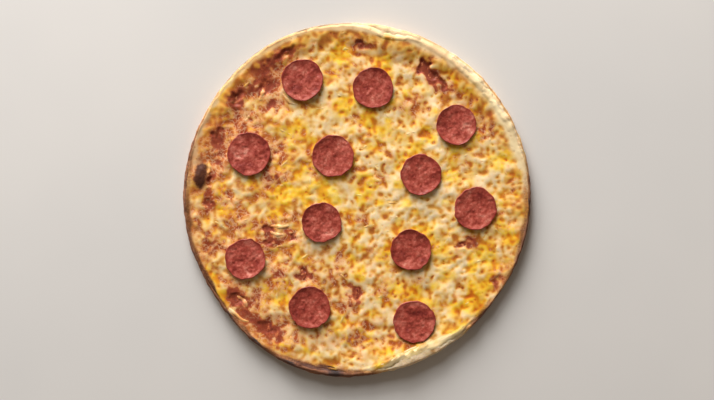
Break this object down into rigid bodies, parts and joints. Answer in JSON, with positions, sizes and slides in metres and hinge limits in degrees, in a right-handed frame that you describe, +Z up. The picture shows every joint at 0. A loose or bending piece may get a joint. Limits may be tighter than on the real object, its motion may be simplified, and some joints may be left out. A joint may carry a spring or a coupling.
{
  "type": "pepperoni pizza",
  "caption": "Whole uncut round pizza: thin crust with an uneven rim, tomato sauce, melted cheese and pepperoni slices.",
  "frame": {"origin": "middle of the flat underside of the crust, on the surface that the pizza rests on", "axes": "+Z up through the toppings; +Y towards the side that is at the top of the picture, +X to its right"},
  "size_m": [0.3034, 0.3094, 0.0137],
  "materials": {
    "crust": "baked dough, pale and floury with browned and burnt spots",
    "sauce": "wet tomato sauce",
    "cheese": "melted cheese, oily, with browned spots",
    "pepperoni": "cured sausage, speckled, with a sheen of oil"
  },
  "bodies": {
    "root": {"crust": "crust", "sauce": "sauce", "cheese": "cheese", "pepperoni_01": "pepperoni", "pepperoni_02": "pepperoni", "pepperoni_03": "pepperoni", "pepperoni_04": "pepperoni", "pepperoni_05": "pepperoni", "pepperoni_06": "pepperoni", "pepperoni_07": "pepperoni", "pepperoni_08": "pepperoni", "pepperoni_09": "pepperoni", "pepperoni_10": "pepperoni", "pepperoni_11": "pepperoni", "pepperoni_12": "pepperoni"}
  },
  "joints": []
}
